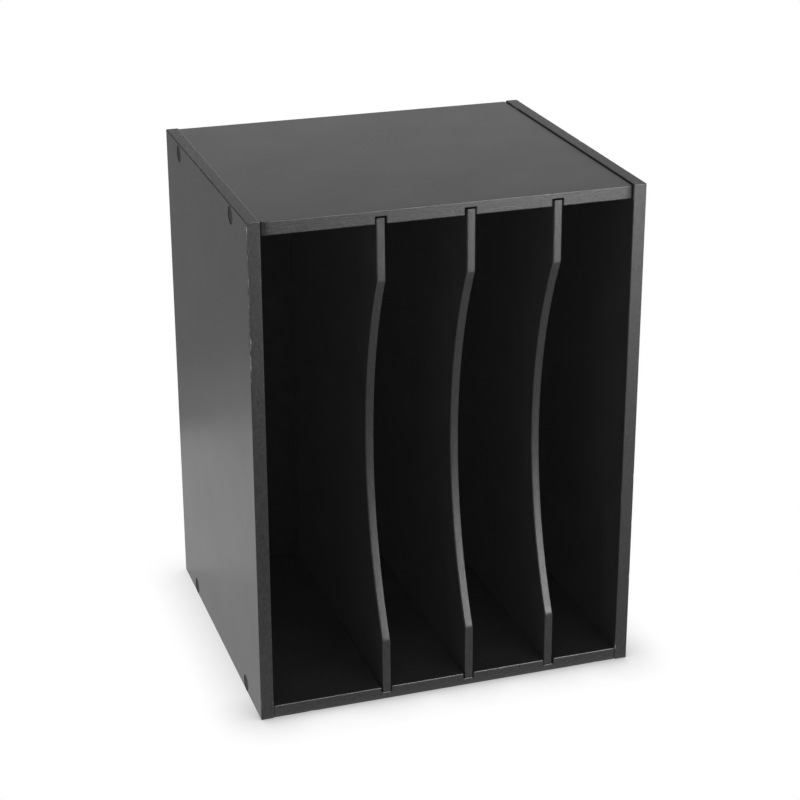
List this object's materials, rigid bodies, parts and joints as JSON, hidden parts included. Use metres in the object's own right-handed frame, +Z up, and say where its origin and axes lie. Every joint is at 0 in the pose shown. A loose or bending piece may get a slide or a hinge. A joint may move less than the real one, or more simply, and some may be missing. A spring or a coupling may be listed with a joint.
{
  "type": "magazine storage unit",
  "caption": "Upright open-fronted storage box of black painted board, with scooped dividers that slide into grooves from the front.",
  "frame": {"origin": "centre of the footprint, on the underside of the case", "axes": "+X to the right seen from the open front, +Y to the back, +Z up"},
  "size_m": [0.267, 0.2334, 0.35],
  "materials": {
    "board_paint": "satin black paint on fibreboard",
    "back_paint": "matt black paint on hardboard",
    "divider_paint": "satin black paint on fibreboard",
    "screw_zinc": "zinc plated",
    "cap_plastic": "matt moulded black",
    "dowel_beech": "raw fluted beech"
  },
  "bodies": {
    "carcass": {"side_panel_left": "board_paint", "side_panel_right": "board_paint", "top_panel": "board_paint", "bottom_panel": "board_paint", "back_panel": "back_paint", "screws_top_left": "screw_zinc", "screws_top_right": "screw_zinc", "screws_bottom_left": "screw_zinc", "screws_bottom_right": "screw_zinc", "screw_caps_top_left": "cap_plastic", "screw_caps_top_right": "cap_plastic", "screw_caps_bottom_left": "cap_plastic", "screw_caps_bottom_right": "cap_plastic", "dowels_top_left": "dowel_beech", "dowels_top_right": "dowel_beech", "dowels_bottom_left": "dowel_beech", "dowels_bottom_right": "dowel_beech"},
    "left_divider": {"divider_left": "divider_paint"},
    "centre_divider": {"divider_centre": "divider_paint"},
    "right_divider": {"divider_right": "divider_paint"}
  },
  "joints": [
    {"name": "left_divider_slide", "type": "slide", "parent": "carcass", "child": "left_divider", "axis": [0, -1, 0], "range_m": [0, 0.22]},
    {"name": "centre_divider_slide", "type": "slide", "parent": "carcass", "child": "centre_divider", "axis": [0, -1, 0], "range_m": [0, 0.22]},
    {"name": "right_divider_slide", "type": "slide", "parent": "carcass", "child": "right_divider", "axis": [0, -1, 0], "range_m": [0, 0.22]}
  ]
}
